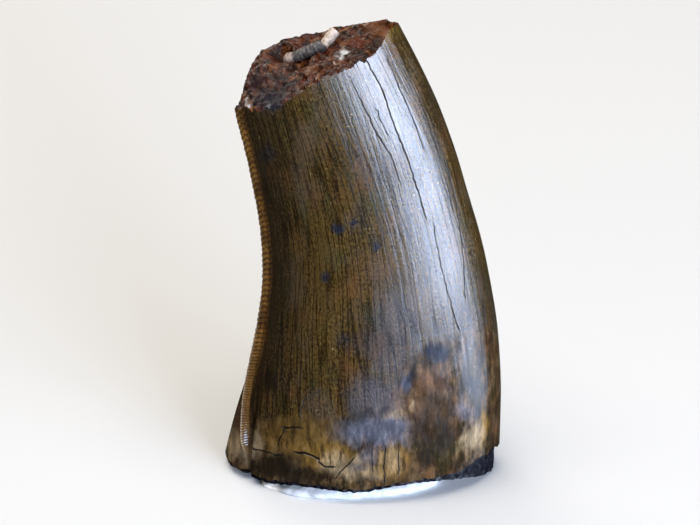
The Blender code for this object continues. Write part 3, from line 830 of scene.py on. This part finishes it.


# Enamel: dark olive brown, finely grooved lengthwise, with ochre, cream, slate and ink-blue patches. Some of
# its colours are painted light: a cool sheen, glints, highlights and shade
enamel, tree, shader = new_material("fossil_enamel", IOR=1.5)
wall_place = put(tree, "Attribute", attribute_name="grown").outputs["Vector"]
solid_place = in_millimetres(tree)
slow_wobble = times(tree, lumps(tree, wall_place, (0.5, 0.1, 1), 1.0, 2.0, 0.5), 0.6)
quick_wobble = times(tree, lumps(tree, wall_place, (1.8, 0.8, 1), 5.0, 2.0, 0.5), 0.14)
wobble = put(tree, "CombineXYZ", {0: calc(tree, "ADD", slow_wobble, quick_wobble)}).outputs[0]
wall_place = put(tree, "VectorMath", {0: wall_place, 1: wobble}, operation="ADD").outputs[0]
wide_ridges = ridged(tree, wall_place, (1.9, 0.07, 1), 0.14)
thin_ridges = ridged(tree, wall_place, (4.3, 0.2, 1), 0.26)
beads = lumps(tree, wall_place, (6.0, 3.0, 1), 1.0, 5.0, 0.95)
broad_lines = lumps(tree, wall_place, (1.0, 0.12, 1), 7.0, 3.0, 0.6)
engraved = calc(tree, "ADD", times(tree, wide_ridges, 0.18), times(tree, thin_ridges, 0.1))
engraved = calc(tree, "ADD", engraved, times(tree, beads, 0.72))
line_mix = calc(tree, "ADD", times(tree, engraved, 0.45), times(tree, beads, 0.55))
coat = shades(
    tree, line_mix, (0.32, 0.004, 0.002, 0.0003), (0.5, 0.023, 0.012, 0.0018), (0.64, 0.064, 0.038, 0.01),
    (0.79, 0.12, 0.085, 0.032)
)
coat = wash(tree, coat, span(tree, broad_lines, 0.42, 0.62, 0.0, 0.28), (0.013, 0.007, 0.0015))
mottle = lumps(tree, solid_place, (1.5, 1.5, 0.6), 13.0, 6.0, 0.7)
mottled_coat = shades(
    tree, mottle, (0.36, 0.01, 0.006, 0.002), (0.48, 0.029, 0.016, 0.006), (0.6, 0.062, 0.036, 0.016),
    (0.72, 0.12, 0.08, 0.045)
)
smooth = stored(tree, "smooth")
coat = tint(tree, times(tree, smooth, 0.85), coat, mottled_coat)
coat = clouded(tree, coat, solid_place, (
    ((0.5, 0.5, 0.3), 3.0, 0.5, 0.68, (0.075, 0.032, 0.01), 0.5),
    ((0.6, 0.6, 0.35), 11.0, 0.5, 0.66, (0.02, 0.021, 0.006), 0.45),
    ((0.35, 0.35, 0.2), 19.0, 0.48, 0.66, (0.06, 0.044, 0.03), 0.35),
    ((0.9, 0.9, 0.6), 27.0, 0.56, 0.7, (0.01, 0.006, 0.005), 0.4),
    # sparse pale gold flecks: painted glints standing in for the enamel's sparkle
    ((5.0, 5.0, 4.0), 33.0, 0.68, 0.74, (0.4, 0.28, 0.13), 0.7),
))
coat = stained(tree, coat, (
    ("ochre", (0.135, 0.072, 0.013), 0.85),
    ("cream", (0.32, 0.23, 0.13), 0.85),
    ("slate_and_sheen", (0.075, 0.08, 0.105), 0.75),
    ("rust", (0.085, 0.04, 0.02), 0.8),
    ("umber", (0.01, 0.006, 0.003), 0.85),
    ("ink", (0.006, 0.011, 0.02), 0.85),
    # painted shade in the groove beside the keel
    ("groove_shade", (0.008, 0.004, 0.002), 0.8),
    ("flank", (0.12, 0.052, 0.01), 0.75),
    ("keel", (0.22, 0.105, 0.02), 0.85),
))
drips = span(tree, lumps(tree, wall_place, (2.4, 0.4, 1), 9.0, 4.0, 0.6), 0.52, 0.6, 0.0, 0.85)
coat = wash(tree, coat, times(tree, drips, stored(tree, "ochre")), (0.02, 0.01, 0.003))
# Lines over the whole coat, weaker where it is smooth, and mottling only there
lined = calc(tree, "SUBTRACT", 0.8, times(tree, smooth, 0.65))
coat = tint(tree, lined, coat, span(tree, line_mix, 0.38, 0.68, 0.22, 1.52), "MULTIPLY")
mottled = times(tree, smooth, 0.5)
coat = tint(tree, mottled, coat, span(tree, mottle, 0.38, 0.64, 0.25, 1.7), "MULTIPLY")
# The keel: dark gaps between its denticles, brown stains that deepen near the base, and pale tips that are
# painted highlights
band = calc(tree, "MAXIMUM", stored(tree, "keel"), stored(tree, "flank"))
gap = times(tree, band, span(tree, stored(tree, "saw"), 0.3, 0.95, 1.0, 0.0))
gap = times(tree, gap, span(tree, stored(tree, "crest"), 0.0, 0.6, 0.75, 0.9))
coat = wash(tree, coat, gap, (0.025, 0.009, 0.003))
up_keel = put(tree, "SeparateXYZ", {0: wall_place}).outputs[1]
stain = span(tree, lumps(tree, wall_place, (0.9, 0.45, 1), 15.0, 3.0, 0.6), 0.48, 0.6, 0.0, 0.6)
stain = times(tree, band, calc(tree, "MAXIMUM", stain, span(tree, up_keel, 5.0, 14.0, 0.55, 0.0)))
coat = wash(tree, coat, stain, (0.03, 0.014, 0.006))
# pale tips along the crest: painted highlights on the denticles
tip_highlights = times(tree, stored(tree, "crest"), span(tree, stored(tree, "saw"), 0.35, 0.85))
coat = wash(tree, coat, times(tree, tip_highlights, 0.8), (0.64, 0.52, 0.36))
# Cracks, and then the gloss and the relief
line = calc(tree, "SUBTRACT", 1.0, span(tree, calc(tree, "ABSOLUTE", stored(tree, "crack_side")), 0.7, 1.6))
line = times(tree, line, stored(tree, "crack_near"))
coat = wash(tree, coat, times(tree, line, 0.95), (0.004, 0.002, 0.001))
gloss = span(tree, lumps(tree, solid_place, (0.8, 0.8, 0.5), 5.0, 4.0, 0.65), 0.3, 0.7, 0.14, 0.24)
gloss = calc(tree, "ADD", gloss, times(tree, line, span(tree, smooth, 0.0, 1.0, 0.75, 0.1)))
bumpy = calc(tree, "SUBTRACT", 1.0, times(tree, smooth, 0.75))
pits = times(tree, lumps(tree, solid_place, (4.0, 4.0, 3.0), 2.0, 3.0, 0.75), bumpy)
sunk_line = calc(tree, "SUBTRACT", 1.0, line)
finish_surface(
    tree, shader, coat, gloss, (0.000028, times(tree, engraved, bumpy)), (0.000014, pits),
    (0.00008, sunk_line)
)

# Broken dentine: rust and pinkish brown crumbs, some of them glassy, and one painted white highlight
dentine, tree, shader = new_material("broken_dentine", IOR=1.5, Specular_IOR_Level=0.25)
solid_place = in_millimetres(tree)
crumb = put(tree, "TexVoronoi", {"Vector": solid_place, "Scale": 3.4}, feature="F1")
crumb_shade = put(tree, "SeparateColor", {0: crumb.outputs["Color"]}).outputs[0]
grit = lumps(tree, solid_place, (3.0, 3.0, 3.0), 2.0, 5.0, 0.65)
coat = shades(
    tree, grit, (0.41, 0.005, 0.0015, 0.001), (0.49, 0.04, 0.01, 0.004), (0.57, 0.12, 0.035, 0.014),
    (0.66, 0.36, 0.2, 0.13)
)
coat = wash(tree, coat, times(tree, crumb_shade, 0.35), (0.035, 0.009, 0.004))
coat = clouded(tree, coat, solid_place, (
    ((0.9, 0.9, 0.9), 3.0, 0.5, 0.6, (0.14, 0.024, 0.006), 0.75),
    ((1.2, 1.2, 1.2), 21.0, 0.54, 0.62, (0.3, 0.11, 0.03), 0.7),
    ((1.3, 1.3, 1.3), 11.0, 0.52, 0.6, (0.006, 0.002, 0.002), 0.9),
    ((2.6, 2.6, 2.6), 31.0, 0.62, 0.67, (0.5, 0.38, 0.3), 0.7),
))
coat = stained(tree, coat, (
    ("slate_and_sheen", (0.12, 0.08, 0.07), 0.3),
    ("rust", (0.1, 0.022, 0.008), 0.35),
    ("ochre", (0.26, 0.085, 0.018), 0.6),
    ("ink", (0.014, 0.014, 0.026), 0.85),
    # dark where the umber marks are, among them a painted shadow under the splinter
    ("umber", (0.012, 0.005, 0.004), 0.85),
    # near white where the cream marks are: pale crumbs, and a painted highlight on a glassy facet
    ("cream", (0.9, 0.92, 0.96), 1.0),
))
gloss = span(tree, lumps(tree, solid_place, (1.5, 1.5, 1.5), 8.0, 3.0, 0.6), 0.4, 0.6, 0.1, 0.4)
finish_surface(tree, shader, coat, gloss, (0.00009, grit), (0.00004, crumb.outputs["Distance"]))

# The foot: dark matrix that clings under the enamel's lower margin and over the broken base
matrix, tree, shader = new_material("clinging_matrix", IOR=1.5, Specular_IOR_Level=0.1)
solid_place = in_millimetres(tree)
grit = lumps(tree, solid_place, (2.6, 2.6, 2.6), 6.0, 5.0, 0.65)
coat = shades(tree, grit, (0.36, 0.001, 0.001, 0.002), (0.52, 0.003, 0.003, 0.005), (0.68, 0.02, 0.019, 0.02))
coat = wash(tree, coat, times(tree, stored(tree, "rust"), 0.6), (0.09, 0.045, 0.02))
gloss = span(tree, lumps(tree, solid_place, (1.5, 1.5, 1.5), 8.0, 3.0, 0.6), 0.4, 0.6, 0.25, 0.5)
finish_surface(tree, shader, coat, gloss, (0.00006, grit))

for material in (enamel, dentine, matrix):
    crown.data.materials.append(material)
foot_point = for_all(foot.astype(float)) > 0.5
kinds = [2 if all(foot_point[list(face)]) else 0 for face in wall_faces]
kinds += [1] * len(break_faces) + [2] * len(base_faces)
crown.data.polygons.foreach_set("material_index", kinds)

# The lodged splinter: a small rod of pale mineral, stuck in the crumbs of the break. It has a tan lump at
# its left end, a grey barrel with dark bands, and a cream peg with a flat, cut end.

SPLINTER_SIDES = 28
SPLINTER_RINGS = 130
SPLINTER_LENGTH = 5.42
LUMP_END = 1.0
BARREL_END = 3.93
BARREL_FADE = (3.85, 3.95)
PEG_FADE = (3.9, 4.0)
BAND_STEP = 0.36
BAND_GROOVE = 0.07
BAND_FLATNESS = 0.4
# Distance along the splinter and its radius there
SPLINTER_OUTLINE = (
    (0.0, 0.02), (0.06, 0.32), (0.25, 0.56), (0.55, 0.66), (0.85, 0.56), (1.02, 0.44), (1.12, 0.55),
    (3.85, 0.55), (3.95, 0.4), (4.05, 0.4), (4.3, 0.43), (5.36, 0.46), (5.42, 0.42),
)
along_splinter = np.linspace(0.0, SPLINTER_LENGTH, SPLINTER_RINGS)
middle_line = splinter_place(along_splinter)
for _ in range(3):  # rounds the corners of its line
    middle_line[1:-1] = (middle_line[:-2] + 2 * middle_line[1:-1] + middle_line[2:]) / 4
radius = np.interp(along_splinter, *zip(*SPLINTER_OUTLINE))
banded = ease(LUMP_END, LUMP_END + 0.1, along_splinter)
banded *= 1 - ease(BARREL_END - 0.1, BARREL_END, along_splinter)
band_wave = np.abs(np.sin(math.pi * (along_splinter - LUMP_END) / BAND_STEP)) ** BAND_FLATNESS
radius = radius - BAND_GROOVE * banded * (1 - band_wave)
heading = np.gradient(middle_line, axis=0)
heading /= np.linalg.norm(heading, axis=1, keepdims=True)
across = np.cross(heading, (0.0, 0.0, 1.0))
across /= np.linalg.norm(across, axis=1, keepdims=True)
over = np.cross(across, heading)
turn = np.arange(SPLINTER_SIDES) * 2 * math.pi / SPLINTER_SIDES
spoke = across[:, None] * np.cos(turn)[None, :, None] + over[:, None] * np.sin(turn)[None, :, None]
skin = middle_line[:, None] + spoke * radius[:, None, None]
skin_places = np.moveaxis(skin, -1, 0)
rough = 0.05 * grain(*skin_places, (0.45, 0.45, 0.45)) + 0.02 * grain(*skin_places, (0.15, 0.15, 0.15))
skin = skin + spoke * rough[..., None] * ease(0.0, 0.1, along_splinter)[:, None, None]
splinter_points = from_break(*np.vstack([skin.reshape(-1, 3), middle_line[0], middle_line[-1]]).T)


def tube_faces(rings, sides):
    """Faces of rings of points in a row, closed at the first and the last ring by one more point each."""
    faces = []
    for ring in range(rings - 1):
        for side in range(sides):
            a, b = ring * sides + side, ring * sides + (side + 1) % sides
            faces.append((a, b, b + sides, a + sides))
    last = (rings - 1) * sides
    for side in range(sides):
        after = (side + 1) % sides
        faces += [(last + sides, after, side), (last + sides + 1, last + side, last + after)]
    return faces


splinter_faces = tube_faces(SPLINTER_RINGS, SPLINTER_SIDES)
splinter = make_piece("banded_splinter", splinter_points, splinter_faces, "lodged_splinter", 50)


def along_rings(values):
    """One value for each ring of the splinter, and for its two end points."""
    return np.concatenate([np.repeat(values, SPLINTER_SIDES), [values[0], values[-1]]])


barrel = ease(LUMP_END, LUMP_END + 0.12, along_splinter) * (1 - ease(*BARREL_FADE, along_splinter))
keep_values(splinter, "barrel", along_rings(barrel))
keep_values(splinter, "peg", along_rings(ease(*PEG_FADE, along_splinter)))
keep_values(splinter, "band", along_rings(1 - band_wave))
mineral, tree, shader = new_material("pale_mineral", IOR=1.5)
solid_place = in_millimetres(tree)
grit = lumps(tree, solid_place, (3.0, 3.0, 3.0), 4.0, 4.0, 0.6)
coat = shades(tree, grit, (0.35, 0.2, 0.13, 0.1), (0.5, 0.42, 0.31, 0.27), (0.65, 0.6, 0.48, 0.43))
grey = shades(tree, grit, (0.35, 0.06, 0.05, 0.048), (0.5, 0.14, 0.125, 0.12), (0.65, 0.27, 0.25, 0.24))
cream = shades(tree, grit, (0.35, 0.42, 0.32, 0.24), (0.5, 0.66, 0.53, 0.42), (0.65, 0.8, 0.69, 0.58))
coat = tint(tree, stored(tree, "barrel"), coat, grey)
coat = tint(tree, stored(tree, "peg"), coat, cream)
banding = times(tree, stored(tree, "band"), stored(tree, "barrel"))
coat = wash(tree, coat, times(tree, banding, 0.85), (0.012, 0.01, 0.01))
gloss = span(tree, grit, 0.35, 0.65, 0.65, 0.45)
finish_surface(tree, shader, coat, gloss, (0.00003, grit))
splinter.data.materials.append(mineral)

# The pad: white putty, squeezed by hand between the broken base and the ground to keep the crown
# upright. It shows as a thin bright rim under the outer face.

PAD_OUTLINE = (
    (-8.4, -3.4), (-7.6, -4.6), (-5.3, -6.05), (-1.2, -6.45), (2.9, -5.7), (5.6, -4.2),
    (6.2, -2.4), (5.6, 0.6), (3.2, 3.4), (-0.6, 4.6), (-4.8, 3.9), (-7.8, 0.9),
)
PAD_SIDES = 240
PAD_TOP = 1.2
# Share of the way out from the pad's middle, and height
PAD_PROFILE = (
    (0.985, 0.0), (1.003, 0.06), (1.012, 0.15), (1.015, 0.27), (1.012, 0.4), (1.0, 0.52), (0.985, 0.63),
    (0.96, 0.74), (0.925, 0.84), (0.88, 0.92), (0.82, 1.0), (0.74, 1.05), (0.64, 1.1), (0.52, 1.15),
    (0.38, PAD_TOP), (0.22, PAD_TOP),
)
PAD_SQUEEZE = 0.5
PAD_SQUEEZE_END = -4.5
pad_turn = np.arange(PAD_SIDES) * 2 * math.pi / PAD_SIDES
pad_edge = np.column_stack([round_value([point[k] for point in PAD_OUTLINE], pad_turn) for k in (0, 1)])
pad_middle = pad_edge.mean(axis=0)
pad_reach = pad_edge - pad_middle
outwards = pad_reach / np.linalg.norm(pad_reach, axis=1, keepdims=True)
pad_rings = []
for share, rise in PAD_PROFILE:
    plan = pad_middle + pad_reach * share
    squeezed = 1 - PAD_SQUEEZE * (1 - ease(PAD_OUTLINE[0][0], PAD_SQUEEZE_END, plan[:, 0]))
    dents = 0.09 * grain(*plan.T, rise, (1.4, 1.4, 1.0)) + 0.03 * grain(*plan.T, rise, (0.4, 0.4, 0.4))
    dents *= min(rise, 1.0)
    plan = plan + outwards * dents[:, None]
    pad_rings.append(np.column_stack([plan, np.maximum(rise * squeezed + dents * 0.6, 0.0)]))
pad_points = np.vstack(pad_rings + [[(*pad_middle, 0.0)], [(*pad_middle, PAD_TOP)]])
pad_faces = tube_faces(len(PAD_PROFILE), PAD_SIDES)
pad = make_piece("white_putty", pad_points, pad_faces, "putty_pad", 60)
putty, tree, shader = new_material("white_putty", IOR=1.45)
solid_place = in_millimetres(tree)
kneaded = lumps(tree, solid_place, (0.9, 0.9, 0.9), 1.0, 4.0, 0.5)
coat = shades(tree, kneaded, (0.3, 0.27, 0.27, 0.26), (0.5, 0.4, 0.41, 0.42), (0.7, 0.52, 0.53, 0.54))
# the pad's left end: cream putty, and painted light that brightens it
cream_and_lit_left_end = span(tree, put(tree, "SeparateXYZ", {0: solid_place}).outputs[0], -7.4, -6.8, 1.0, 0.0)
coat = wash(tree, coat, times(tree, cream_and_lit_left_end, 0.9), (0.95, 0.88, 0.75))
gloss = span(tree, kneaded, 0.3, 0.7, 0.6, 0.45)
finish_surface(tree, shader, coat, gloss, (0.0002, kneaded))
pad.data.materials.append(putty)

# The floor, the light and the camera: pale paper, a cool soft box low on the right in three parts, a warm
# one above and a weak one behind. None of them is part of the object.

FLOOR_REACH = 3
floor_corners = [(x * FLOOR_REACH, y * FLOOR_REACH, 0) for x, y in ((-1, -1), (1, -1), (1, 1), (-1, 1))]
floor_mesh = bpy.data.meshes.new("floor")
floor_mesh.from_pydata(floor_corners, [], [(0, 1, 2, 3)])
floor = bpy.data.objects.new("floor", floor_mesh)
bpy.context.scene.collection.objects.link(floor)
paper, tree, shader = new_material("pale_paper", Roughness=0.9)
shader.inputs["Base Color"].default_value = colour_of(0.85, 0.85, 0.84)
floor_mesh.materials.append(paper)
floor.visible_glossy = False
floor.visible_shadow = False


def soft_box(name, place, wide, tall, lean, power, colour):
    """A flat rectangular light that faces the tooth and leans sideways, in metres, degrees and watts."""
    lamp = bpy.data.lights.new(name, "AREA")
    lamp.shape = "RECTANGLE"
    lamp.size, lamp.size_y = wide, tall
    lamp.energy = power
    lamp.color = colour
    box = bpy.data.objects.new(name, lamp)
    box.location = place
    facing = (Vector((0, 0, 0.02)) - Vector(place)).to_track_quat("-Z", "Y")
    box.rotation_euler = (facing @ Quaternion((0, 0, 1), math.radians(lean))).to_euler()
    bpy.context.scene.collection.objects.link(box)


SKY = (0.66, 0.77, 1.0)
COOL = (0.6, 0.73, 1.0)
WARM = (1.0, 0.95, 0.88)
soft_box("upper_key_light", (0.34, -0.364, 0.064), 0.554, 0.123, -15.0, 8.2, SKY)
soft_box("middle_key_light", (0.364, -0.34, -0.024), 0.65, 0.088, -15.0, 4.3, COOL)
soft_box("lower_key_light", (0.463, -0.082, -0.151), 0.3, 0.088, -15.0, 0.45, COOL)
soft_box("top_light", (-0.1, -0.1, 0.9), 0.8, 0.8, 0.0, 7.5, WARM)
soft_box("back_fill", (-0.35, 0.6, 0.35), 0.5, 0.5, 0.0, 1.8, WARM)

world = bpy.data.worlds.new("studio")
world.use_nodes = True
background = world.node_tree.nodes["Background"]
background.inputs["Color"].default_value = colour_of(1.0, 0.9, 0.75)
background.inputs["Strength"].default_value = 0.04
bpy.context.scene.world = world
bpy.context.scene.view_settings.view_transform = "Standard"

LENS_LENGTH = 248.9
SENSOR_WIDTH = 36.0
camera_lens = bpy.data.cameras.new("camera")
camera_lens.lens = LENS_LENGTH
camera_lens.sensor_width = SENSOR_WIDTH
camera_lens.clip_start = 0.01
camera = bpy.data.objects.new("camera", camera_lens)
camera.location = CAMERA_PLACE * MM
camera.rotation_euler = Vector(INWARDS).to_track_quat("-Z", "Y").to_euler()
bpy.context.scene.collection.objects.link(camera)
bpy.context.scene.camera = camera
